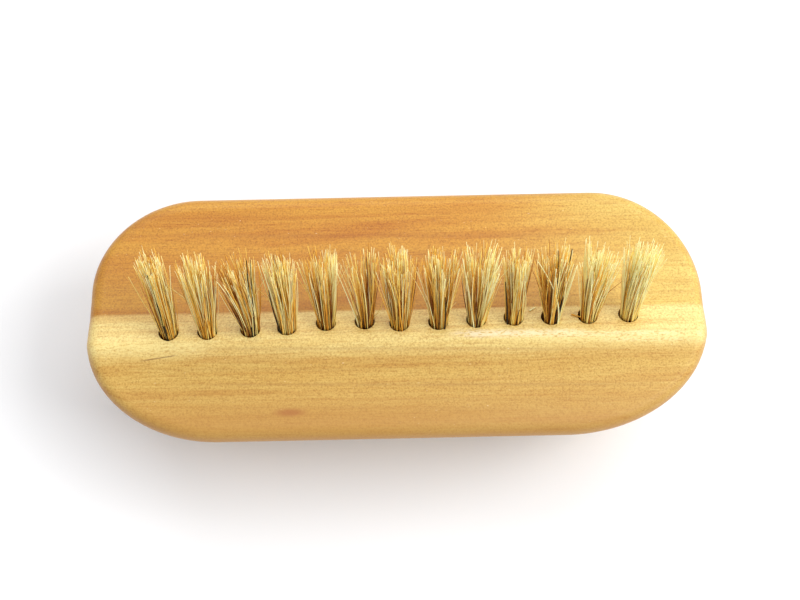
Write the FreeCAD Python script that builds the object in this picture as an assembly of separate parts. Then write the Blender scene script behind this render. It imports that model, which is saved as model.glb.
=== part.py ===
import FreeCAD, Part
import math
import os

# A small double-sided scrubbing brush for collars, cuffs, hands and nails.
# The wooden block is a long rounded slab with a low ridge along its top. The ridge has a narrow
# slanted land that faces the far side, and one row of thirteen tufts stands square on that land.
# Five rows of tufts below the block are the main scrubbing face. Every tuft is a bundle of stiff
# fibres folded round a short strip of flat wire, which is driven across the bottom of its hole.
#
# Frame: millimetres, +X along the block, +Y towards the far side, +Z up. The origin is on the
# plane of the lower tuft tips, under the middle of the block.

# ---- driving dimensions -------------------------------------------------------------------

# The block's length and width are those of the blank, before its rims are rounded.
BLOCK_LENGTH = 95.0
BLOCK_WIDTH = 39.0
LOWER_TUFT_LENGTH = 12.0
UNDERSIDE_Z = LOWER_TUFT_LENGTH

# Quarter-ellipse corners of the plan outline: half axis along X, half axis along Y.
FAR_RIGHT_CORNER = (17.0, 17.0)
FAR_LEFT_CORNER = (17.0, 15.0)
NEAR_LEFT_CORNER = (20.0, 15.5)
NEAR_RIGHT_CORNER = (22.0, 16.5)

# The side wall: how far it stands in from the plan outline, from the underside up to the rim.
# A shallow finger groove runs all round, and the foot below it is narrower than the rim.
WALL_INSETS = (
    (UNDERSIDE_Z, 2.3),
    (14.0, 2.6),
    (16.4, 3.1),
    (18.8, 2.0),
    (21.2, 0.5),
    (23.0, 0.05),
    (27.0, 0.0),
    (31.0, 0.0),
)
FOOT_EDGE_RADIUS = 1.0
RIM_RADIUS = 2.0

# The top surface, as a section across the block: two shallow coves and the slanted land.
CREASE_Y = 0.25
CREASE_Z = 24.9
LAND_PLAN_WIDTH = 4.7
LAND_SLOPE_DEG = 21.0
CREST_RADIUS = 2.4
CREASE_RADIUS = 0.5
FAR_COVE_LOW = (10.0, 24.1)
NEAR_COVE_LOW = (-12.5, 24.3)
RIM_Z = 24.7

# The upper row of tufts. Drilled by hand, it is a little off centre and slightly skewed, and
# each hole has wandered from its mark: its shift along X and its shift along Y.
UPPER_HOLE_SHIFTS = (
    (-0.4, -0.1),
    (-0.3, -0.2),
    (0.4, -0.1),
    (0.2, 0.0),
    (0.3, 0.5),
    (0.4, 0.5),
    (-0.1, -0.1),
    (0.0, -0.1),
    (0.0, 0.0),
    (-0.1, 0.1),
    (-0.2, 0.0),
    (-0.4, -0.1),
    (0.0, -0.1),
)
UPPER_PITCH = 5.82
UPPER_ROW_X = 0.5
UPPER_ROW_Y = -1.93
UPPER_ROW_SKEW_DEG = 1.2
UPPER_TUFT_LENGTH = 17.2
UPPER_HOLE_DEPTH = 6.0
UPPER_TIP_RADIUS = 2.55

# The lower rows: y of each row, and how many tufts it has.
LOWER_ROWS = ((-12.0, 11), (-6.0, 12), (0.0, 13), (6.0, 12), (12.0, 11))
LOWER_PITCH = 6.0
LOWER_HOLE_DEPTH = 6.5
LOWER_TIP_RADIUS = 2.2

# Holes, stems and the flat wire strips that hold the tufts.
HOLE_RADIUS = 1.55
STEM_RADIUS = 1.45
STEM_FOOT_GAP = 0.1
ANCHOR_LENGTH = 4.0
ANCHOR_THICKNESS = 0.35
ANCHOR_HEIGHT = 1.5
ANCHOR_LIFT = 0.7

# The outline of a tuft: how far up it stays straight, and how much of its widening is done
# half way from there to the tip.
STRAIGHT_SHARE = 0.06
HALF_WAY_WIDENING = 0.42

# ---- derived dimensions -------------------------------------------------------------------

HALF_LENGTH = BLOCK_LENGTH / 2
HALF_WIDTH = BLOCK_WIDTH / 2
LAND_SLOPE = math.radians(LAND_SLOPE_DEG)
CREST_Y = CREASE_Y - LAND_PLAN_WIDTH
CREST_Z = CREASE_Z + LAND_PLAN_WIDTH * math.tan(LAND_SLOPE)
BEYOND = 3.0
ABOVE = 10.0
FOOT_INSET = WALL_INSETS[0][1]
RIM_BAND = (RIM_Z - 1.5, CREST_Z + 0.5)
SAME_PLACE = 0.01
ON_RIM = 0.3
UP = FreeCAD.Vector(0, 0, 1)
DOWN = FreeCAD.Vector(0, 0, -1)
ALONG = FreeCAD.Vector(1, 0, 0)
LAND_NORMAL = FreeCAD.Vector(0, math.sin(LAND_SLOPE), math.cos(LAND_SLOPE))


# ---- the block ----------------------------------------------------------------------------


def corner(x_side, y_side, half_axes, inset, z, start_deg):
    """A quarter ellipse of the plan outline, with its centre x and y, anticlockwise."""
    along = half_axes[0] - inset
    across = half_axes[1] - inset
    centre_x = x_side * (HALF_LENGTH - half_axes[0])
    centre_y = y_side * (HALF_WIDTH - half_axes[1])
    ellipse = Part.Ellipse(FreeCAD.Vector(centre_x, centre_y, z), along, across)
    start = math.radians(start_deg)
    return Part.ArcOfEllipse(ellipse, start, start + math.pi / 2).toShape()


def plan_outline(inset, z):
    """The rounded plan of the block at height z, standing in by inset."""
    arcs = [
        corner(1, 1, FAR_RIGHT_CORNER, inset, z, 0),
        corner(-1, 1, FAR_LEFT_CORNER, inset, z, 90),
        corner(-1, -1, NEAR_LEFT_CORNER, inset, z, 180),
        corner(1, -1, NEAR_RIGHT_CORNER, inset, z, 270),
    ]
    edges = []
    for index, arc in enumerate(arcs):
        following = arcs[(index + 1) % len(arcs)]
        edges.append(arc)
        edges.append(Part.makeLine(arc.lastVertex().Point, following.firstVertex().Point))
    return Part.Wire(edges)


def section_point(y, z):
    """A point of the cross-section, at the left end of the material that is cut away."""
    return FreeCAD.Vector(-HALF_LENGTH - BEYOND, y, z)


def space_above():
    """Everything above the top surface: two coves that meet the slanted land."""
    crease = section_point(CREASE_Y, CREASE_Z)
    crest = section_point(CREST_Y, CREST_Z)
    far_rim = section_point(HALF_WIDTH + BEYOND, RIM_Z)
    near_rim = section_point(-HALF_WIDTH - BEYOND, RIM_Z)
    far_top = section_point(HALF_WIDTH + BEYOND, RIM_Z + ABOVE)
    near_top = section_point(-HALF_WIDTH - BEYOND, RIM_Z + ABOVE)
    edges = [
        Part.Arc(near_rim, section_point(*NEAR_COVE_LOW), crest).toShape(),
        Part.makeLine(crest, crease),
        Part.Arc(crease, section_point(*FAR_COVE_LOW), far_rim).toShape(),
        Part.makeLine(far_rim, far_top),
        Part.makeLine(far_top, near_top),
        Part.makeLine(near_top, near_rim),
    ]
    return Part.Face(Part.Wire(edges)).extrude(ALONG * (BLOCK_LENGTH + 2 * BEYOND))


def edges_along(block, y, z):
    """The edge that runs along the whole block at this place of the cross-section."""
    found = []
    for edge in block.Edges:
        middle = edge.CenterOfMass
        at_place = abs(middle.y - y) < SAME_PLACE and abs(middle.z - z) < SAME_PLACE
        if at_place and edge.Length > HALF_LENGTH:
            found.append(edge)
    return found


def edges_round(block, inset, z_from, z_to, tolerance):
    """The edges between two heights that follow the plan outline, this far in from it."""
    outline = plan_outline(inset, 0)
    found = []
    for edge in block.Edges:
        box = edge.BoundBox
        if box.ZMin < z_from or box.ZMax > z_to:
            continue
        middle = edge.valueAt((edge.FirstParameter + edge.LastParameter) / 2)
        below = Part.Vertex(middle.x, middle.y, 0)
        if outline.distToShape(below)[0] < tolerance:
            found.append(edge)
    return found


def carved_block():
    """The block before its holes are drilled."""
    block = Part.makeLoft([plan_outline(inset, z) for z, inset in WALL_INSETS], True)
    block = block.cut(space_above())
    block = block.makeFillet(CREST_RADIUS, edges_along(block, CREST_Y, CREST_Z))
    block = block.makeFillet(CREASE_RADIUS, edges_along(block, CREASE_Y, CREASE_Z))
    foot = edges_round(block, FOOT_INSET, 0, UNDERSIDE_Z + SAME_PLACE, SAME_PLACE)
    block = block.makeFillet(FOOT_EDGE_RADIUS, foot)
    rim = edges_round(block, 0, *RIM_BAND, ON_RIM)
    return block.makeFillet(RIM_RADIUS, rim)


# ---- tufts, holes and anchors -------------------------------------------------------------


def placed(shape, base, direction):
    """The shape, drawn upwards from the origin, moved to base and turned to direction."""
    moved = shape.copy()
    moved.Placement = FreeCAD.Placement(base, FreeCAD.Rotation(UP, direction))
    return moved


def hole(depth):
    """A drill's path: from below the bottom of a hole to clear of the surface."""
    return Part.makeCylinder(HOLE_RADIUS, depth + BEYOND, FreeCAD.Vector(0, 0, -depth), UP)


def anchor(depth):
    """The flat wire strip across the bottom of a hole, longer than the hole is wide."""
    corner_point = FreeCAD.Vector(
        -ANCHOR_THICKNESS / 2, -ANCHOR_LENGTH / 2, -depth + ANCHOR_LIFT
    )
    return Part.makeBox(ANCHOR_THICKNESS, ANCHOR_LENGTH, ANCHOR_HEIGHT, corner_point)


def tuft(depth, length, tip_radius):
    """A bundle of fibres: a round stem in its hole, opening to a trimmed tip."""
    neck_height = length * STRAIGHT_SHARE
    belly = STEM_RADIUS + (tip_radius - STEM_RADIUS) * HALF_WAY_WIDENING
    foot_middle = FreeCAD.Vector(0, 0, -depth + STEM_FOOT_GAP)
    foot = FreeCAD.Vector(STEM_RADIUS, 0, -depth + STEM_FOOT_GAP)
    neck = FreeCAD.Vector(STEM_RADIUS, 0, neck_height)
    half_way = FreeCAD.Vector(belly, 0, (neck_height + length) / 2)
    tip = FreeCAD.Vector(tip_radius, 0, length)
    tip_middle = FreeCAD.Vector(0, 0, length)
    edges = [
        Part.makeLine(foot_middle, foot),
        Part.makeLine(foot, neck),
        Part.Arc(neck, half_way, tip).toShape(),
        Part.makeLine(tip, tip_middle),
        Part.makeLine(tip_middle, foot_middle),
    ]
    bundle = Part.Face(Part.Wire(edges)).revolve(FreeCAD.Vector(0, 0, 0), UP, 360)
    return bundle.cut(anchor(depth))


def upper_stations():
    """Where the tufts of the upper row leave the land, from left to right."""
    stations = []
    first = -(len(UPPER_HOLE_SHIFTS) - 1) / 2
    for index, (shift_x, shift_y) in enumerate(UPPER_HOLE_SHIFTS):
        mark_x = UPPER_ROW_X + (first + index) * UPPER_PITCH
        mark_y = UPPER_ROW_Y + mark_x * math.tan(math.radians(UPPER_ROW_SKEW_DEG))
        y = mark_y + shift_y
        z = CREASE_Z + (CREASE_Y - y) * math.tan(LAND_SLOPE)
        stations.append(FreeCAD.Vector(mark_x + shift_x, y, z))
    return stations


def lower_stations(row_y, count):
    """Where the tufts of one lower row leave the underside."""
    first = -(count - 1) / 2
    return [
        FreeCAD.Vector((first + index) * LOWER_PITCH, row_y, UNDERSIDE_Z)
        for index in range(count)
    ]


def export(shape, node):
    """Writes one node's STEP file."""
    shape.exportStep("parts/" + node + ".step")


# ---- the assembly -------------------------------------------------------------------------

os.makedirs("parts", exist_ok=True)

cutters = []
upper_anchors = []

for index, station in enumerate(upper_stations()):
    upper_tuft = tuft(UPPER_HOLE_DEPTH, UPPER_TUFT_LENGTH, UPPER_TIP_RADIUS)
    export(placed(upper_tuft, station, LAND_NORMAL), "upper_tuft_%02d" % (index + 1))
    upper_anchors.append(placed(anchor(UPPER_HOLE_DEPTH), station, LAND_NORMAL))
    cutters.append(placed(hole(UPPER_HOLE_DEPTH), station, LAND_NORMAL))

export(Part.makeCompound(upper_anchors), "upper_anchors")
cutters.extend(upper_anchors)

for row, (row_y, count) in enumerate(LOWER_ROWS):
    stations = lower_stations(row_y, count)
    lower_tuft = tuft(LOWER_HOLE_DEPTH, LOWER_TUFT_LENGTH, LOWER_TIP_RADIUS)
    row_tufts = [placed(lower_tuft, station, DOWN) for station in stations]
    row_anchors = [placed(anchor(LOWER_HOLE_DEPTH), station, DOWN) for station in stations]
    export(Part.makeCompound(row_tufts), "lower_tufts_row_%d" % (row + 1))
    export(Part.makeCompound(row_anchors), "lower_anchors_row_%d" % (row + 1))
    cutters.extend(placed(hole(LOWER_HOLE_DEPTH), station, DOWN) for station in stations)
    cutters.extend(row_anchors)

wood_block = carved_block().cut(cutters)
print("wood_block valid:", wood_block.isValid(), "solids:", len(wood_block.Solids))
export(wood_block, "wood_block")
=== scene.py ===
import math
import random

import bpy
from mathutils import Matrix, Vector


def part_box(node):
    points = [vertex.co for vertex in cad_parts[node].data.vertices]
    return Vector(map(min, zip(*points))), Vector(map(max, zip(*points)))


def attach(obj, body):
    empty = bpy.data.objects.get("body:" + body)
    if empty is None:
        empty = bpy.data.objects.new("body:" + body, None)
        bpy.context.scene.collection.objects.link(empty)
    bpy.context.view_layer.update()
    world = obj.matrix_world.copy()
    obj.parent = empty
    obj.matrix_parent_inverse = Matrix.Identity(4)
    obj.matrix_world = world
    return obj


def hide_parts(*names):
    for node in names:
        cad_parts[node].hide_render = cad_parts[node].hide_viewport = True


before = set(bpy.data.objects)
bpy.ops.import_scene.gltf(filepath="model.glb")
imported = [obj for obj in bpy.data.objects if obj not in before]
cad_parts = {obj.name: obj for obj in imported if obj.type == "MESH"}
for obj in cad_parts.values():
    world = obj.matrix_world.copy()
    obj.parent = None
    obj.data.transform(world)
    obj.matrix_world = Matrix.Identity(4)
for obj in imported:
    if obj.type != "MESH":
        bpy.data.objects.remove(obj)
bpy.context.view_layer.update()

# The looks of a small wooden scrubbing brush: oiled pale wood, and tufts of loose plant fibres.
# Lengths are in metres, unless a comment says millimetres, in the frame of the CAD model: +X along
# the block, +Y to its far side and +Z up from the tips of the lower tufts.

MM = 0.001
random.seed(42)

# ---- places taken from the frame ----------------------------------------------------------

UPPER_NODES = sorted(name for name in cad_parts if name.startswith("upper_tuft_"))
LOWER_NODES = sorted(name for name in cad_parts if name.startswith("lower_tufts_row_"))
ANCHOR_NODES = sorted(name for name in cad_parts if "anchors" in name)

ALONG = Vector((1.0, 0.0, 0.0))
FAR = Vector((0.0, 1.0, 0.0))
DOWN = Vector((0.0, 0.0, -1.0))
LAND_SLOPE = math.radians(21.0)
LAND_NORMAL = Vector((0.0, math.sin(LAND_SLOPE), math.cos(LAND_SLOPE)))
LAND_DOWNHILL = Vector((0.0, math.cos(LAND_SLOPE), -math.sin(LAND_SLOPE)))
UPPER_LENGTH = 17.2 * MM
UPPER_TIP_RADIUS = 2.55 * MM
UNDERSIDE_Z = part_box("wood_block")[0][2]
LOWER_PITCH = 6.0 * MM
LOWER_COUNTS = (11, 12, 13, 12, 11)

# The way a tuft's fibres grow, and the two ways across its hole.
UPPER_AXES = (LAND_NORMAL, ALONG, LAND_DOWNHILL)
LOWER_AXES = (DOWN, ALONG, FAR)


def station_of(node):
    """Where an upper tuft leaves the land: its box's far top edge, less the reach of its tip."""
    low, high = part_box(node)
    rim_y = UPPER_TIP_RADIUS * math.cos(LAND_SLOPE)
    rim_z = UPPER_TIP_RADIUS * math.sin(LAND_SLOPE)
    tip_middle = Vector(((low[0] + high[0]) / 2, high[1] - rim_y, high[2] - rim_z))
    return tip_middle - LAND_NORMAL * UPPER_LENGTH


# ---- materials ----------------------------------------------------------------------------


def srgb(red, green, blue, alpha=1.0):
    """A colour given as 0 to 255 display values, as the linear values that shaders take."""
    linear = []
    for value in (red, green, blue):
        part = value / 255
        linear.append(part / 12.92 if part <= 0.04045 else ((part + 0.055) / 1.055) ** 2.4)
    return (*linear, alpha)


class Tree:
    """A short way to write a material's nodes. Values may be numbers, colours or sockets."""

    def __init__(self, name):
        self.material = bpy.data.materials.new(name)
        self.material.use_nodes = True
        self.nodes = self.material.node_tree.nodes
        self.links = self.material.node_tree.links
        self.nodes.clear()
        self.output = self.add("ShaderNodeOutputMaterial")
        self.shader = self.add("ShaderNodeBsdfPrincipled")
        self.links.new(self.shader.outputs[0], self.output.inputs["Surface"])

    def add(self, kind, **settings):
        node = self.nodes.new(kind)
        for key, value in settings.items():
            setattr(node, key, value)
        return node

    def feed(self, socket, value):
        if isinstance(value, bpy.types.NodeSocket):
            self.links.new(value, socket)
        elif value is not None:
            socket.default_value = value

    def surface(self, name, value):
        """Sets one of the shader's own sockets."""
        self.feed(self.shader.inputs[name], value)

    def bump(self, height, distance, strength):
        """Small relief: its height is a pattern, its distance is in metres."""
        node = self.add("ShaderNodeBump")
        self.feed(node.inputs["Strength"], strength)
        self.feed(node.inputs["Distance"], distance)
        self.feed(node.inputs["Height"], height)
        self.surface("Normal", node.outputs[0])

    def place(self):
        """The place of a point in its object, in metres."""
        return self.add("ShaderNodeTexCoord").outputs["Object"]

    def parts(self, vector):
        """The x, y and z of a vector."""
        node = self.add("ShaderNodeSeparateXYZ")
        self.feed(node.inputs[0], vector)
        return node.outputs

    def stretched(self, vector, along, across, up):
        """The coordinates scaled, so that a pattern is drawn out where the scale is small."""
        node = self.add("ShaderNodeMapping")
        self.feed(node.inputs["Vector"], vector)
        node.inputs["Scale"].default_value = (along, across, up)
        return node.outputs[0]

    def noise(self, vector, detail, roughness=0.5, distortion=0.0):
        """A cloudy pattern from 0 to 1, about one cloud to each unit of the vector."""
        node = self.add("ShaderNodeTexNoise")
        self.feed(node.inputs["Vector"], vector)
        self.feed(node.inputs["Scale"], 1.0)
        self.feed(node.inputs["Detail"], detail)
        self.feed(node.inputs["Roughness"], roughness)
        self.feed(node.inputs["Distortion"], distortion)
        return node.outputs[0]

    def math(self, operation, first, second=None, third=None):
        node = self.add("ShaderNodeMath", operation=operation)
        for socket, value in zip(node.inputs, (first, second, third)):
            self.feed(socket, value)
        return node.outputs[0]

    def less(self, first, second):
        return self.math("SUBTRACT", first, second)

    def times(self, first, second):
        return self.math("MULTIPLY", first, second)

    def step(self, value, low, high):
        """0 below low, 1 above high, smooth between."""
        node = self.add("ShaderNodeMapRange", interpolation_type="SMOOTHSTEP")
        self.feed(node.inputs["Value"], value)
        self.feed(node.inputs["From Min"], low)
        self.feed(node.inputs["From Max"], high)
        return node.outputs["Result"]

    def ramp(self, value, stops):
        """A colour for each value: stops are pairs of a value and its colour."""
        node = self.add("ShaderNodeValToRGB")
        self.feed(node.inputs[0], value)
        while len(node.color_ramp.elements) < len(stops):
            node.color_ramp.elements.new(0.5)
        for element, (place, colour) in zip(node.color_ramp.elements, stops):
            element.position = place
            element.color = colour
        return node.outputs[0]

    def mix(self, share, first, second, blend="MIX"):
        """Two colours mixed: the first alone where the share is 0."""
        node = self.add("ShaderNodeMix", data_type="RGBA", blend_type=blend)
        self.feed(node.inputs["Factor"], share)
        self.feed(node.inputs[6], first)
        self.feed(node.inputs[7], second)
        return node.outputs[2]

    def tint(self, base, mask, depth, colour):
        """The base with a colour laid on it, to the given depth where the mask is 1."""
        return self.mix(self.times(mask, depth), base, colour)


# The wood. Its places and patterns are in millimetres.

# Painted shade on the near flank, which faces away from the light.
NEAR_WOOD_SHADED = srgb(220, 186, 102)
# The far flank: its own golden wood, with painted shade of the tufts and of the light falling off
# from the right at its left end, and painted light at its right end.
FAR_WOOD_SHADED = srgb(212, 158, 56)
FAR_WOOD_LIT = srgb(229, 205, 114)
# The land: partly its barer wood, partly painted light where it faces the light.
LAND_WOOD_BARE_AND_LIT = srgb(250, 232, 158)
# Bare worn wood, with a painted highlight on it.
BARE_WOOD_AND_HIGHLIGHT = srgb(250, 236, 200)
DARK_GRAIN = srgb(150, 96, 44)
KNOT_WOOD = srgb(158, 76, 30)
SCRATCH_WOOD = srgb(122, 76, 34)
DARK_PORE = srgb(140, 88, 42)
LIGHT_PORE = srgb(255, 240, 196)
# Painted shade towards the near rim, where the flank curves away from the light, and on the walls.
NEAR_RIM_SHADE = srgb(178, 130, 62)
WALL_SHADE = srgb(184, 124, 62)
END_WOOD = srgb(170, 112, 58)

# Where a change across the block begins, and where it is complete.
CREASE_Y = (0.2, 0.9)
# Over this span the land's pale colour reaches down over the crest, as painted light.
CREST_LIGHT_Y = (-8.4, -4.4)
TOP_Z = (23.4, 24.2)
# Along this span the far flank turns from its painted shade to its painted light.
LIT_END_X = (10.0, 43.0)
# Painted shade grows towards the near rim over this span.
NEAR_RIM_SHADE_Y = (-18.0, -9.0)

# The part of a face's normal that points up, from a wall to the top, and the part that points
# along the block, from a long wall to an end.
WALL_TO_TOP = (0.25, 0.85)
WALL_TO_END = (0.45, 0.9)

# Each pattern: its clouds per millimetre along, across and up, then its detail, roughness and
# distortion. All but the last are drawn out along X, so the ends of the block show end grain.
PATTERNS = {
    "slow": ((0.012, 0.16, 0.16), 3.0, 0.55, 0.6),
    "bands": ((0.020, 0.85, 0.85), 3.0, 0.55, 0.7),
    "fine": ((0.22, 5.5, 5.5), 4.0, 0.7, 0.0),
    "flecks": ((1.5, 5.0, 5.0), 2.0, 0.5, 0.0),
    "sanding": ((3.4, 3.6, 3.6), 3.0, 0.7, 0.0),
}

# How a pattern colours the wood that it is multiplied into: how strongly, and its colours.
PATTERN_COLOURS = (
    ("slow", 0.85, (
        (0.30, srgb(232, 206, 168)),
        (0.46, srgb(255, 255, 255)),
        (0.66, srgb(242, 226, 196)),
    )),
    ("bands", 0.55, (
        (0.34, srgb(236, 214, 184)),
        (0.50, srgb(255, 254, 252)),
        (0.64, srgb(251, 242, 228)),
    )),
    ("fine", 0.6, (
        (0.32, srgb(220, 190, 150)),
        (0.48, srgb(250, 246, 238)),
        (0.62, srgb(255, 255, 255)),
    )),
    ("sanding", 0.72, (
        (0.34, srgb(198, 168, 124)),
        (0.47, srgb(236, 228, 214)),
        (0.62, srgb(255, 255, 255)),
    )),
)

# Lines along the grain: the x and y of the middle, half the length, half the width, and depth.
DARK_LINES = (
    (0.0, -6.05, 44.0, 0.40, 0.30),
    (2.0, -11.35, 46.0, 0.45, 0.36),
    (4.0, -17.5, 36.0, 5.0, 0.16),
    (-22.0, -8.6, 24.0, 0.30, 0.18),
    (20.0, -13.9, 28.0, 0.35, 0.18),
    (-10.0, -14.6, 34.0, 0.40, 0.16),
    (-6.0, 12.5, 44.0, 0.60, 0.24),
    (14.0, 7.2, 30.0, 0.40, 0.20),
    (-28.0, 4.0, 18.0, 0.50, 0.22),
)
SCRATCH = (-36.2, -6.7, 3.4, 0.16, 0.75)
# Pale patches along the near edge of the ridge, partly worn bare wood and partly painted highlight:
# the x and y of the middle, half the length, half the width, depth and colour.
WORN_AND_HIGHLIT_PATCHES = (
    (18.5, -4.1, 12.0, 1.00, 0.95, BARE_WOOD_AND_HIGHLIGHT),
    (34.0, -4.5, 12.0, 0.75, 0.45, BARE_WOOD_AND_HIGHLIGHT),
    (38.0, -5.4, 8.0, 0.50, 0.30, BARE_WOOD_AND_HIGHLIGHT),
    (-38.0, -5.2, 12.0, 1.9, 0.55, LAND_WOOD_BARE_AND_LIT),
    (38.0, -5.0, 26.0, 2.0, 0.50, LAND_WOOD_BARE_AND_LIT),
)
# How far each kind of line turns from X.
GRAIN_SLANT = -0.021
SCRATCH_SLANT = 0.13
WORN_AND_HIGHLIT_SLANT = -0.01

KNOT_PLACE = (-16.5, -15.2)
KNOT_SIZE = (2.6, 0.7)
KNOT_EDGE = (0.25, 1.3)

# How deeply each colour is laid on the wood.
# The land's pale colour is partly painted light.
LAND_LIGHT_DEPTH = 0.92
KNOT_DEPTH = 0.8
DARK_PORE_DEPTH = 0.4
LIGHT_PORE_DEPTH = 0.6
# Depths of the painted shade at the near rim and on the walls.
NEAR_RIM_SHADE_DEPTH = 0.6
WALL_SHADE_DEPTH = 0.28
END_DEPTH = 0.25

# The values of a pattern over which a mark in the wood comes in.
LINE_FROM_FINE = (0.30, 0.62)
WORN_AND_HIGHLIT_FROM_FLECKS = (0.34, 0.56)
DARK_PORE_FLECKS = (0.24, 0.34)
LIGHT_PORE_FLECKS = (0.72, 0.80)


class WoodPlace:
    """What the wood's colours depend on: places, patterns, and masks from 0 to 1."""

    def __init__(self, tree):
        mm = tree.stretched(tree.place(), 1000, 1000, 1000)
        self.x, self.y, z = tree.parts(mm)
        self.patterns = {}
        for name, (scale, *character) in PATTERNS.items():
            self.patterns[name] = tree.noise(tree.stretched(mm, *scale), *character)
        self.fine = self.patterns["fine"]
        self.flecks = self.patterns["flecks"]
        self.sanding = self.patterns["sanding"]

        wavy_y = tree.math("MULTIPLY_ADD", self.patterns["bands"], 0.6, self.y)
        self.past_crease = tree.step(wavy_y, *CREASE_Y)
        self.on_top = tree.step(z, *TOP_Z)
        before_crease = tree.less(1.0, self.past_crease)
        # The land, with its painted light carried down over the crest.
        between = tree.times(tree.step(self.y, *CREST_LIGHT_Y), before_crease)
        self.on_lit_land = tree.times(between, self.on_top)

        normal = tree.parts(tree.add("ShaderNodeNewGeometry").outputs["Normal"])
        self.wall = tree.less(1.0, tree.step(normal["Z"], *WALL_TO_TOP))
        self.end_face = tree.step(tree.math("ABSOLUTE", normal["X"]), *WALL_TO_END)


def line_mask(tree, at, centre_x, centre_y, half_length, half_width, slant):
    """1 on a thin line along the grain, fading out at its ends."""
    from_middle = tree.less(at.x, centre_x)
    off = tree.less(tree.less(at.y, centre_y), tree.times(from_middle, slant))
    across = tree.less(1.0, tree.step(tree.math("ABSOLUTE", off), 0.0, half_width))
    away = tree.math("ABSOLUTE", from_middle)
    along = tree.less(1.0, tree.step(away, half_length * 0.5, half_length))
    return tree.times(across, along)


def knot_mask(tree, at):
    """1 in the middle of the knot, fading out round it."""
    reach_x = tree.math("DIVIDE", tree.less(at.x, KNOT_PLACE[0]), KNOT_SIZE[0])
    reach_y = tree.math("DIVIDE", tree.less(at.y, KNOT_PLACE[1]), KNOT_SIZE[1])
    squares = tree.math("ADD", tree.times(reach_x, reach_x), tree.times(reach_y, reach_y))
    return tree.less(1.0, tree.step(tree.math("SQRT", squares), *KNOT_EDGE))


def flank_colours(tree, at):
    """Golden on the far flank; paler on the near flank, painted darker than the land as shade;
    palest on the land, partly barer wood and partly painted light; and one colour on the walls.
    """
    far_wood_shaded_to_lit = tree.mix(tree.step(at.x, *LIT_END_X), FAR_WOOD_SHADED, FAR_WOOD_LIT)
    evened = tree.times(at.wall, tree.less(0.5, at.past_crease))
    base = tree.mix(tree.math("ADD", at.past_crease, evened), NEAR_WOOD_SHADED, far_wood_shaded_to_lit)
    return tree.tint(base, at.on_lit_land, LAND_LIGHT_DEPTH, LAND_WOOD_BARE_AND_LIT)


def with_marks(tree, at, base):
    """Dark lines in the grain, a knot, a scratch, and pale patches along the ridge: partly worn
    bare wood, partly painted highlight.
    """
    for *line, depth in DARK_LINES:
        mask = line_mask(tree, at, *line, GRAIN_SLANT)
        uneven = tree.times(mask, tree.step(at.fine, *LINE_FROM_FINE))
        base = tree.tint(base, tree.times(uneven, at.on_top), depth, DARK_GRAIN)
    base = tree.tint(base, knot_mask(tree, at), KNOT_DEPTH, KNOT_WOOD)
    *line, depth = SCRATCH
    base = tree.tint(base, line_mask(tree, at, *line, SCRATCH_SLANT), depth, SCRATCH_WOOD)
    for *line, depth, colour in WORN_AND_HIGHLIT_PATCHES:
        mask = line_mask(tree, at, *line, WORN_AND_HIGHLIT_SLANT)
        uneven = tree.times(mask, tree.step(at.flecks, *WORN_AND_HIGHLIT_FROM_FLECKS))
        base = tree.tint(base, tree.times(uneven, at.on_top), depth, colour)
    return base


def with_pores(tree, at, base):
    """A few short dark and light flecks along the grain."""
    dark = tree.less(1.0, tree.step(at.flecks, *DARK_PORE_FLECKS))
    light = tree.step(at.flecks, *LIGHT_PORE_FLECKS)
    base = tree.tint(base, dark, DARK_PORE_DEPTH, DARK_PORE)
    return tree.tint(base, light, LIGHT_PORE_DEPTH, LIGHT_PORE)


def with_edge_shade_and_end_grain(tree, at, base):
    """Painted shade towards the near rim and on the walls, and darker end grain."""
    rim_shade = tree.less(1.0, tree.step(at.y, *NEAR_RIM_SHADE_Y))
    base = tree.tint(base, rim_shade, NEAR_RIM_SHADE_DEPTH, NEAR_RIM_SHADE)
    base = tree.tint(base, at.wall, WALL_SHADE_DEPTH, WALL_SHADE)
    return tree.tint(base, at.end_face, END_DEPTH, END_WOOD)


def wood_material():
    """Pale sanded softwood under a thin oil, with its grain along X all through the block."""
    tree = Tree("oiled_wood")
    at = WoodPlace(tree)
    base = flank_colours(tree, at)
    for name, share, stops in PATTERN_COLOURS:
        base = tree.mix(share, base, tree.ramp(at.patterns[name], stops), "MULTIPLY")
    base = with_marks(tree, at, base)
    base = with_pores(tree, at, base)
    base = with_edge_shade_and_end_grain(tree, at, base)
    tree.surface("Base Color", base)
    tree.surface("Roughness", tree.math("MULTIPLY_ADD", at.sanding, 0.22, 0.36))
    tree.surface("Coat Weight", 0.12)
    tree.surface("Coat Roughness", 0.35)
    relief = tree.math("ADD", tree.times(at.fine, 0.7), tree.times(at.sanding, 0.5))
    tree.bump(relief, 0.06 * MM, 0.8)
    return tree.material


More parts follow.
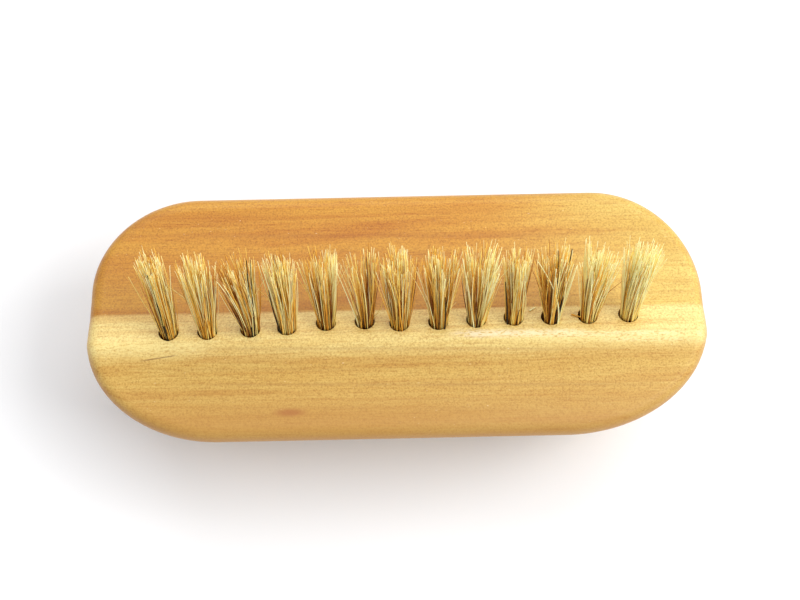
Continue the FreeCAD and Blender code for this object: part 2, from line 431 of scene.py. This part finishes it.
def fibre_material():
    """Plant fibre. Each fibre has a tone from 0, nearly black, to 1, pale cream."""
    tree = Tree("plant_fibre")
    tone = tree.add("ShaderNodeAttribute", attribute_name="fibre_tone").outputs["Fac"]
    mm = tree.stretched(tree.place(), 1000, 1000, 1000)
    blotch = tree.noise(tree.stretched(mm, 2.0, 2.0, 0.5), 2.0, 0.6)
    shifted = tree.math("ADD", tone, tree.math("MULTIPLY_ADD", blotch, 0.16, -0.08))
    tree.surface("Base Color", tree.ramp(shifted, (
        (0.03, srgb(24, 15, 13)),
        (0.14, srgb(84, 46, 26)),
        (0.28, srgb(148, 82, 24)),
        (0.44, srgb(206, 142, 44)),
        (0.62, srgb(246, 185, 68)),
        (0.80, srgb(255, 227, 118)),
        (1.00, srgb(255, 251, 192)),
    )))
    tree.surface("Roughness", tree.math("MULTIPLY_ADD", blotch, 0.2, 0.36))
    tree.surface("Specular IOR Level", 0.2)
    tree.bump(tree.noise(tree.stretched(mm, 14.0, 14.0, 1.2), 2.0), 0.02 * MM, 0.5)
    return tree.material


def wire_material():
    """Flat steel wire with drawing marks along it."""
    tree = Tree("anchor_wire")
    marks = tree.noise(tree.stretched(tree.place(), 9000, 300, 9000), 3.0)
    tree.surface("Base Color", tree.ramp(marks, (
        (0.3, srgb(150, 148, 142)),
        (0.7, srgb(196, 194, 188)),
    )))
    tree.surface("Metallic", 1.0)
    tree.surface("Roughness", tree.math("MULTIPLY_ADD", marks, 0.2, 0.28))
    return tree.material


def floor_material():
    """A smooth pale table with a faint sheen."""
    tree = Tree("pale_table")
    cloud = tree.noise(tree.stretched(tree.place(), 14.0, 14.0, 14.0), 3.0)
    tree.surface("Base Color", tree.mix(cloud, srgb(244, 245, 248), srgb(249, 250, 252)))
    tree.surface("Roughness", 0.45)
    return tree.material


# ---- fibres -------------------------------------------------------------------------------

# How deep a fibre reaches into its hole, and the radius of the bundle there.
ROOT = 3.0 * MM
BUNDLE_RADIUS = 1.36 * MM
# How much paler a fibre is at its tip than at its root, partly its own paling and partly painted
# shade of the crowded root; the place along it, from 0 to 1, that has its own tone; how much finer
# it is at its tip; and the power with which its lean grows.
TIP_PALING_AND_ROOT_SHADE = 0.32
OWN_TONE_AT = 0.65
TAPER = 0.55
LEAN_GROWTH = 1.3


class FibreMesh:
    """Collects many thin tubes, each with its own tone, into one mesh."""

    def __init__(self, sides):
        self.sides = sides
        self.points = []
        self.faces = []
        self.tones = []

    def add(self, path, radii, tones):
        """A closed tube along a path of points, with a radius and a tone at each point."""
        first = len(self.points)
        heading = (path[1] - path[0]).normalized()
        across = heading.orthogonal().normalized()
        for index, point in enumerate(path):
            ahead = path[min(index + 1, len(path) - 1)]
            behind = path[max(index - 1, 0)]
            heading = (ahead - behind).normalized()
            across = (across - heading * across.dot(heading)).normalized()
            other = heading.cross(across)
            for side in range(self.sides):
                angle = 2 * math.pi * side / self.sides
                offset = across * math.cos(angle) + other * math.sin(angle)
                self.points.append(point + offset * radii[index])
                self.tones.append(tones[index])
        for ring in range(len(path) - 1):
            start = first + ring * self.sides
            for side in range(self.sides):
                beside = (side + 1) % self.sides
                self.faces.append((
                    start + side,
                    start + beside,
                    start + self.sides + beside,
                    start + self.sides + side,
                ))
        last = first + (len(path) - 1) * self.sides
        self.faces.append(tuple(first + side for side in reversed(range(self.sides))))
        self.faces.append(tuple(last + side for side in range(self.sides)))

    def stand_in_for(self, node, material):
        """Makes the mesh a piece of the scene, in place of a CAD node."""
        name = "bristles_" + node
        mesh = bpy.data.meshes.new(name)
        mesh.from_pydata(self.points, [], self.faces)
        mesh.polygons.foreach_set("use_smooth", [True] * len(mesh.polygons))
        layer = mesh.attributes.new("fibre_tone", "FLOAT", "POINT")
        layer.data.foreach_set("value", self.tones)
        mesh.materials.append(material)
        mesh.update()
        piece = bpy.data.objects.new(name, mesh)
        bpy.context.scene.collection.objects.link(piece)
        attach(piece, "root")
        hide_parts(node)


def disc_point(radius):
    """A random point in a disc, evenly spread."""
    reach = radius * math.sqrt(random.random())
    angle = random.uniform(0, 2 * math.pi)
    return reach * math.cos(angle), reach * math.sin(angle)


def scattered(spread):
    """A random shift in each of the two ways across a tuft."""
    return random.gauss(0, spread), random.gauss(0, spread)


def fibre_path(base, axes, start, spread, length, lean, curl, rings):
    """A fibre's line, from inside its hole to its tip.

    base is the middle of the hole's mouth, and axes are its tuft's. Across the tuft, start is
    the fibre's place in the hole, spread how many times further out it is at its tip, lean a
    shift of its tip, and curl a bow in its middle.
    """
    axis, side, front = axes
    path = []
    for ring in range(rings):
        along = -ROOT + (length + ROOT) * (ring / (rings - 1))
        rise = max(along, 0.0) / length
        widen = 1 + (spread - 1) * rise
        leaning = rise ** LEAN_GROWTH
        bow = math.sin(math.pi * rise)
        offset_side = start[0] * widen + lean[0] * leaning + curl[0] * bow
        offset_front = start[1] * widen + lean[1] * leaning + curl[1] * bow
        path.append(base + axis * along + side * offset_side + front * offset_front)
    return path


def fibre_tones(tone, rings):
    """Browner where a fibre leaves its hole, partly painted shade of the crowded root, and paler
    towards its tip.
    """
    return [tone + TIP_PALING_AND_ROOT_SHADE * (ring / (rings - 1) - OWN_TONE_AT) for ring in range(rings)]


def fibre_radii(thick, rings):
    """Nearly even along a fibre, and finer towards its tip."""
    return [thick * (1.0 - TAPER * (ring / (rings - 1)) ** 2) for ring in range(rings)]


# How each upper tuft stands: its lean along the block in degrees, its length as a share of the
# CAD tuft's, its share of the usual number of fibres, the tones of its left and right sides, partly
# the tuft's own and partly painted light: most are painted darker on the side away from the light
# on the right, and the rightmost tuft paler where it is lit; and how many times wider it is at its
# tips than in its hole.
UPPER_TUFTS = (
    (-2.4, 1.04, 1.0, 0.70, 0.76, 1.80),
    (0.4, 0.99, 1.0, 0.76, 0.78, 1.85),
    (-3.4, 0.96, 1.0, 0.44, 0.76, 1.85),
    (-0.7, 0.99, 1.0, 0.72, 0.76, 1.55),
    (0.2, 0.92, 0.95, 0.62, 0.70, 2.05),
    (-1.6, 0.93, 0.45, 0.72, 0.62, 1.90),
    (-2.0, 0.94, 1.0, 0.60, 0.80, 1.75),
    (-1.2, 0.92, 1.05, 0.48, 0.78, 1.95),
    (1.2, 0.98, 1.0, 0.78, 0.86, 1.95),
    (-1.2, 0.93, 0.75, 0.76, 0.84, 1.30),
    (-1.0, 0.92, 1.0, 0.58, 0.74, 1.90),
    (1.5, 0.89, 0.85, 0.84, 0.96, 2.05),
    (3.0, 0.95, 1.0, 0.92, 1.22, 1.70),
)
UPPER_FIBRES = 200
UPPER_RINGS = 9
UPPER_SIDES = 6

# How the fibres of an upper tuft differ: radii in millimetres, lengths and spreads as shares of
# their tuft's, and how far tips and middles stray. Some fibres are cut shorter.
UPPER_RADII = (0.04, 0.05, 0.06, 0.07, 0.085)
UPPER_LENGTHS = (0.90, 1.03)
UPPER_SPREADS = (0.85, 1.15)
UPPER_TIP_SCATTER = 0.4 * MM
UPPER_CURL = 0.2 * MM
SHORT_UPPER_SHARE = 0.16
SHORT_UPPER_LENGTHS = (0.80, 0.95)

# Their tones: the scatter round the tuft's own, and the shares and the shift of much browner and
# of much paler fibres.
TONE_SCATTER = 0.15
BROWN_SHARE = 0.17
PALE_SHARE = 0.24
TONE_SHIFT = 0.38
DARKEST_UPPER_TONE = 0.26
PALEST_TONE = 1.0

# Fibres stick together in clumps, which have tones and leans of their own. A fibre's tip is drawn
# towards the middle of its clump by CLUMP_REACH, from 0 to 1, of what the tuft opens.
CLUMPS = 24
CLUMP_REACH = 0.4
CLUMP_TONE_SCATTER = 0.12
CLUMP_LEAN_ALONG = 0.5 * MM
CLUMP_LEAN_FAR = 0.4 * MM

# How far the upper bundles stand off the middles of their holes.
BUNDLE_SHIFT = 0.10 * MM
BUNDLE_PUSH = 0.04 * MM

# Fibres that stand apart from their tuft, by the tuft's number: place in the hole along the block
# and towards the far side, from -1 to 1; place of the tip along the block and towards the far
# side, and bow, in millimetres; share of the tuft's length; tone; and radius in millimetres.
STRAYS = {
    1: (
        (-0.75, 0.0, -3.9, -0.5, -0.3, 0.85, 0.84, 0.07),
        (-0.75, -0.5, -2.8, 0.0, -0.3, 0.88, 0.74, 0.06),
        (-0.1, -0.95, -0.8, -1.9, 0.0, 0.97, 0.02, 0.13),
    ),
    2: (
        (-0.75, -0.4, -4.6, 0.8, 1.5, 0.62, 0.9, 0.09),
        (-0.75, -0.6, -2.4, -0.6, -0.3, 1.0, 0.92, 0.08),
    ),
    3: (
        (-0.75, 0.0, -4.1, -0.2, 0.2, 0.68, 0.86, 0.06),
        (-0.75, 0.4, -3.0, 0.3, -0.2, 0.96, 0.8, 0.06),
        (0.2, -0.95, 1.0, -0.6, 0.0, 1.11, 0.0, 0.14),
        (0.5, -0.9, 1.5, -0.4, 0.0, 1.1, 0.03, 0.1),
        (0.75, 0.0, 3.4, 0.0, -1.2, 0.8, 0.92, 0.06),
    ),
    4: (
        (-0.75, -0.8, -2.0, -1.0, -0.2, 0.65, 0.03, 0.14),
        (-0.2, -0.3, -0.75, 0.0, 0.0, 1.08, 0.05, 0.08),
        (-0.75, 0.2, -3.8, 0.0, 0.4, 0.61, 0.84, 0.05),
        (-0.75, 0.0, -2.5, 0.0, -0.3, 0.92, 0.8, 0.06),
    ),
    5: (
        (-0.75, 0.3, -4.5, 0.0, 0.2, 0.86, 0.84, 0.06),
        (-0.75, -0.3, -3.5, 0.1, 0.2, 0.9, 0.92, 0.07),
        (0.75, 0.0, 3.9, 0.0, -0.9, 0.91, 0.9, 0.06),
    ),
    6: (
        (-0.75, -0.6, -3.9, -0.4, -0.1, 0.88, 1.0, 0.1),
        (-0.75, -0.3, -3.3, -0.2, 0.1, 0.83, 0.92, 0.08),
        (0.35, -0.9, 0.65, -0.9, 0.1, 1.1, 0.16, 0.11),
        (-0.3, 0.0, -1.0, 0.2, -0.2, 1.06, 0.9, 0.07),
        (0.3, 0.4, 0.8, 0.3, 0.3, 1.01, 0.84, 0.06),
        (0.75, 0.0, 2.9, -0.6, 0.8, 0.58, 0.8, 0.05),
    ),
    7: (
        (-0.75, 0.2, -2.7, 0.1, 0.3, 0.95, 0.84, 0.06),
        (-0.5, 0.0, -1.3, 0.2, 0.0, 0.99, 0.9, 0.07),
    ),
    8: (
        (-0.75, 0.2, -4.2, 0.2, 0.5, 0.98, 0.84, 0.06),
        (-0.75, -0.5, -4.6, -0.3, 0.4, 0.88, 0.92, 0.07),
        (0.75, -0.4, 2.5, -0.2, -0.4, 0.33, 0.92, 0.06),
        (0.6, -1.0, 0.8, -1.9, 0.0, 0.57, 0.0, 0.14),
    ),
    9: (
        (-0.4, -0.95, -2.6, -1.5, -0.1, 1.05, 1.0, 0.11),
        (0.75, 0.0, 4.3, 0.0, -0.9, 0.77, 0.96, 0.07),
        (0.75, 0.2, 3.5, 0.2, -0.6, 0.89, 0.86, 0.06),
        (-0.3, 0.0, -0.9, 0.3, 0.0, 1.02, 0.9, 0.06),
        (-0.6, 0.3, -2.5, 0.3, -0.3, 0.99, 0.84, 0.06),
        (-0.75, 0.3, -4.1, 0.4, 0.3, 1.0, 0.78, 0.05),
    ),
    10: (
        (-0.8, -0.9, -1.9, -1.4, 0.0, 0.7, 0.02, 0.14),
        (-0.7, 0.0, -1.3, 0.1, -0.1, 0.95, 0.08, 0.07),
        (0.75, -0.5, 1.7, 0.0, 0.2, 0.3, 0.9, 0.06),
    ),
    11: (
        (0.6, -1.0, -3.1, -1.6, 0.6, 1.03, 1.0, 0.12),
        (0.55, -0.95, 1.75, -0.5, 0.0, 1.12, 0.0, 0.15),
        (0.3, -0.9, -0.2, -0.5, 0.0, 1.1, 0.05, 0.1),
        (-0.75, 0.2, -4.2, 0.2, 0.3, 0.97, 0.84, 0.05),
        (-0.75, 0.3, -3.4, 0.0, 0.5, 0.7, 0.88, 0.05),
        (0.75, -0.8, 2.7, -1.0, -0.2, 0.92, 0.96, 0.08),
    ),
    12: (
        (0.75, -0.6, 4.2, -0.3, -1.0, 0.6, 0.3, 0.08),
        (0.75, 0.0, 3.0, 0.1, -0.4, 0.91, 0.88, 0.06),
        (-0.4, 0.2, -1.3, 0.3, 0.1, 1.0, 0.88, 0.06),
    ),
    13: (
        (0.75, 0.0, 4.1, 0.0, -0.3, 0.86, 0.98, 0.07),
        (0.75, -0.4, 3.7, 0.0, -0.3, 0.76, 0.92, 0.06),
        (-0.5, 0.3, -1.7, 0.4, 0.0, 0.99, 0.82, 0.06),
    ),
}
STRAY_RINGS = 14
STRAY_CURL = 0.15 * MM

# Loose bits of fibre that lie on the land beside a tuft, by the tuft's number: where the bit
# starts and where it ends, along the block and towards the far side in millimetres, and its tone.
FALLEN_BITS = {
    11: ((-3.3, 1.0), (-2.2, 1.7), 1.0),
    12: ((-2.5, 0.2), (0.7, -1.2), 0.55),
}
# Their radius, how far their middle line lies off the land, and their bow, in millimetres.
FALLEN_RADIUS = 0.11
FALLEN_LIFT = 1.1 * FALLEN_RADIUS
FALLEN_BOW = 0.12
FALLEN_RINGS = 6


def add_stray(mesh, base, tuft_length, spread, stray):
    """One fibre that stands apart from its tuft."""
    side, depth, tip_along, tip_far, bow, share, tone, radius = stray
    start = (side * BUNDLE_RADIUS, depth * BUNDLE_RADIUS)
    lean = (tip_along * MM - start[0] * spread, tip_far * MM - start[1] * spread)
    curl = (bow * MM, random.gauss(0, STRAY_CURL))
    length = tuft_length * share
    path = fibre_path(base, UPPER_AXES, start, spread, length, lean, curl, STRAY_RINGS)
    mesh.add(path, fibre_radii(radius * MM, STRAY_RINGS), [tone] * STRAY_RINGS)


def add_fallen_bit(mesh, station, begin, end, tone):
    """A loose bit of fibre, resting on the land."""
    path = []
    for ring in range(FALLEN_RINGS):
        share = ring / (FALLEN_RINGS - 1)
        along = begin[0] + (end[0] - begin[0]) * share
        far = begin[1] + (end[1] - begin[1]) * share
        rise = FALLEN_LIFT + FALLEN_BOW * math.sin(math.pi * share)
        offset = ALONG * along + LAND_DOWNHILL * far + LAND_NORMAL * rise
        path.append(station + offset * MM)
    mesh.add(path, fibre_radii(FALLEN_RADIUS * MM, FALLEN_RINGS), [tone] * FALLEN_RINGS)


def clumps_of_fibres():
    """The clumps of one tuft: the middle of each in the hole, its tone, and its lean."""
    clumps = []
    for _ in range(CLUMPS):
        lean = (random.gauss(0, CLUMP_LEAN_ALONG), random.gauss(0, CLUMP_LEAN_FAR))
        middle = disc_point(BUNDLE_RADIUS)
        clumps.append([middle, random.gauss(0, CLUMP_TONE_SCATTER), lean])
    usual = sum(clump[1] for clump in clumps) / CLUMPS
    for clump in clumps:
        clump[1] -= usual
    return clumps


def upper_tone(left_tone, right_tone, start):
    """A fibre's tone: its side's, partly painted light and shade, with a spread, a few much browner
    and a few much paler.
    """
    across = (start[0] / BUNDLE_RADIUS + 1) / 2
    tone = left_tone + (right_tone - left_tone) * across + random.gauss(0, TONE_SCATTER)
    kind = random.random()
    if kind < BROWN_SHARE:
        tone -= TONE_SHIFT
    elif kind > 1 - PALE_SHARE:
        tone += TONE_SHIFT
    return tone


def add_upper_fibre(mesh, base, clumps, tuft_length, look):
    """One ordinary fibre of an upper tuft."""
    lean_deg, left_tone, right_tone, tuft_spread = look
    start = disc_point(BUNDLE_RADIUS)
    middle, clump_tone, clump_lean = min(clumps, key=lambda clump: math.dist(clump[0], start))
    gather = CLUMP_REACH * (tuft_spread - 1)
    length = tuft_length * random.uniform(*UPPER_LENGTHS)
    if random.random() < SHORT_UPPER_SHARE:
        length *= random.uniform(*SHORT_UPPER_LENGTHS)
    tilt = math.tan(math.radians(lean_deg))
    scatter = scattered(UPPER_TIP_SCATTER)
    lean = (
        tilt * length + clump_lean[0] + scatter[0] + (middle[0] - start[0]) * gather,
        clump_lean[1] + (middle[1] - start[1]) * gather + scatter[1],
    )
    curl = scattered(UPPER_CURL)
    tone = upper_tone(left_tone, right_tone, start) + clump_tone
    tone = min(max(tone, DARKEST_UPPER_TONE), PALEST_TONE)
    thick = random.choice(UPPER_RADII) * MM
    spread = tuft_spread * random.uniform(*UPPER_SPREADS)
    path = fibre_path(base, UPPER_AXES, start, spread, length, lean, curl, UPPER_RINGS)
    mesh.add(path, fibre_radii(thick, UPPER_RINGS), fibre_tones(tone, UPPER_RINGS))


def upper_tuft(number, material):
    """One tuft of the upper row, fibre by fibre."""
    node = UPPER_NODES[number - 1]
    lean_deg, height, share, left_tone, right_tone, spread = UPPER_TUFTS[number - 1]
    tuft_length = UPPER_LENGTH * height
    station = station_of(node)
    base = station + ALONG * BUNDLE_SHIFT + LAND_DOWNHILL * BUNDLE_PUSH
    mesh = FibreMesh(UPPER_SIDES)
    clumps = clumps_of_fibres()
    look = (lean_deg, left_tone, right_tone, spread)
    for _ in range(round(UPPER_FIBRES * share)):
        add_upper_fibre(mesh, base, clumps, tuft_length, look)
    for stray in STRAYS[number]:
        add_stray(mesh, base, tuft_length, spread, stray)
    if number in FALLEN_BITS:
        add_fallen_bit(mesh, station, *FALLEN_BITS[number])
    mesh.stand_in_for(node, material)


LOWER_FIBRES = 70
LOWER_RINGS = 6
LOWER_SIDES = 5

# How the fibres of a lower tuft differ: the range of radii in millimetres, of spreads, and of
# what is cut off in millimetres, which is more in a few fibres; and how far tips and middles stray.
LOWER_RADII = (0.065, 0.1)
LOWER_SPREADS = (1.35, 1.7)
TRIM = (0.0, 0.25)
SHORT_LOWER_SHARE = 0.06
SHORT_LOWER_TRIM = (0.4, 1.8)
LOWER_TIP_SCATTER = 0.28 * MM
LOWER_CURL = 0.1 * MM

# Their tones: the usual one and its scatter, the darkest, and the share of nearly black fibres.
LOWER_TONE = 0.66
LOWER_TONE_SCATTER = 0.13
DARKEST_LOWER_TONE = 0.36
BLACK_SHARE = 0.012
BLACK_TONES = (0.02, 0.2)


def add_lower_fibre(mesh, base):
    """One fibre of a lower tuft, which ends near the plane that the brush stands on."""
    start = disc_point(BUNDLE_RADIUS)
    length = UNDERSIDE_Z - random.uniform(*TRIM) * MM
    if random.random() < SHORT_LOWER_SHARE:
        length -= random.uniform(*SHORT_LOWER_TRIM) * MM
    lean = scattered(LOWER_TIP_SCATTER)
    curl = scattered(LOWER_CURL)
    tone = random.gauss(LOWER_TONE, LOWER_TONE_SCATTER)
    tone = min(max(tone, DARKEST_LOWER_TONE), PALEST_TONE)
    if random.random() < BLACK_SHARE:
        tone = random.uniform(*BLACK_TONES)
    spread = random.uniform(*LOWER_SPREADS)
    path = fibre_path(base, LOWER_AXES, start, spread, length, lean, curl, LOWER_RINGS)
    thick = random.uniform(*LOWER_RADII) * MM
    mesh.add(path, fibre_radii(thick, LOWER_RINGS), fibre_tones(tone, LOWER_RINGS))


def lower_row(node, count, material):
    """One row of the scrubbing face below the block."""
    low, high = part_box(node)
    row_y = (low[1] + high[1]) / 2
    mesh = FibreMesh(LOWER_SIDES)
    for place in range(count):
        x = (place - (count - 1) / 2) * LOWER_PITCH
        base = Vector((x, row_y, UNDERSIDE_Z))
        for _ in range(LOWER_FIBRES):
            add_lower_fibre(mesh, base)
    mesh.stand_in_for(node, material)


# ---- floor, light and camera --------------------------------------------------------------

FLOOR_SIZE = 6.0
ROOM_STRENGTH = 0.62
LIGHT_AIM = (0.0, 0.0, 0.02)
# Each light: its place, its two sizes, its power in watts and its colour.
LIGHTS = {
    "key": ((0.46, -0.02, 0.50), (0.45, 0.45), 3.5, (1.0, 0.99, 0.97)),
    "back": ((0.05, 0.42, 0.50), (0.8, 0.5), 2.1, (1.0, 1.0, 1.0)),
}


def floor():
    """A wide pale table under the brush."""
    bpy.ops.mesh.primitive_plane_add(size=FLOOR_SIZE, location=(0, 0, 0))
    table = bpy.context.object
    table.name = "table"
    table.data.materials.append(floor_material())


def area_light(name, place, size, power, colour):
    """A soft rectangular light that points at the brush."""
    data = bpy.data.lights.new(name, "AREA")
    data.shape = "RECTANGLE"
    data.size, data.size_y = size
    data.energy = power
    data.color = colour
    light = bpy.data.objects.new(name, data)
    bpy.context.scene.collection.objects.link(light)
    light.location = place
    towards = Vector(LIGHT_AIM) - Vector(place)
    light.rotation_euler = towards.to_track_quat("-Z", "Y").to_euler()


def lights():
    """Window-like light from the far right, with a bright even room round it."""
    world = bpy.data.worlds.new("room")
    bpy.context.scene.world = world
    world.use_nodes = True
    background = world.node_tree.nodes["Background"]
    background.inputs["Color"].default_value = (1.0, 1.0, 1.0, 1.0)
    background.inputs["Strength"].default_value = ROOM_STRENGTH
    for name, settings in LIGHTS.items():
        area_light(name, *settings)


CAMERA_TILT = math.radians(14.0)
CAMERA_ROLL = math.radians(-1.2)
CAMERA_DISTANCE = 247.0 * MM
CAMERA_TARGET = Vector((0.55, 2.05, 24.0)) * MM
# The lens and the width of the sensor are in millimetres.
CAMERA_LENS = 72.0
CAMERA_SENSOR = 36.0
CAMERA_CLIP = 10.0 * MM


def camera():
    """Above the near side, looking down at the block almost squarely."""
    data = bpy.data.cameras.new("camera")
    data.lens = CAMERA_LENS
    data.sensor_width = CAMERA_SENSOR
    data.clip_start = CAMERA_CLIP
    data.dof.use_dof = False
    right = Vector((1, 0, 0))
    up = Vector((0, math.cos(CAMERA_TILT), math.sin(CAMERA_TILT)))
    back = Vector((0, -math.sin(CAMERA_TILT), math.cos(CAMERA_TILT)))
    turned_right = right * math.cos(CAMERA_ROLL) + up * math.sin(CAMERA_ROLL)
    turned_up = up * math.cos(CAMERA_ROLL) - right * math.sin(CAMERA_ROLL)
    place = CAMERA_TARGET + back * CAMERA_DISTANCE
    rows = [(turned_right[axis], turned_up[axis], back[axis], place[axis]) for axis in range(3)]
    view = bpy.data.objects.new("camera", data)
    view.matrix_world = Matrix((*rows, (0, 0, 0, 1)))
    bpy.context.scene.collection.objects.link(view)
    bpy.context.scene.camera = view


# ---- the scene ----------------------------------------------------------------------------


def repaint(node, material):
    """Gives a CAD node its finished material."""
    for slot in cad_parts[node].material_slots:
        slot.material = material


bpy.context.scene.view_settings.view_transform = "Standard"
camera()
lights()
floor()

wood = wood_material()
fibre = fibre_material()
wire = wire_material()
repaint("wood_block", wood)
for anchor_node in ANCHOR_NODES:
    repaint(anchor_node, wire)
for tuft_number in range(1, len(UPPER_NODES) + 1):
    upper_tuft(tuft_number, fibre)
for lower_node, tuft_count in zip(LOWER_NODES, LOWER_COUNTS):
    lower_row(lower_node, tuft_count, fibre)
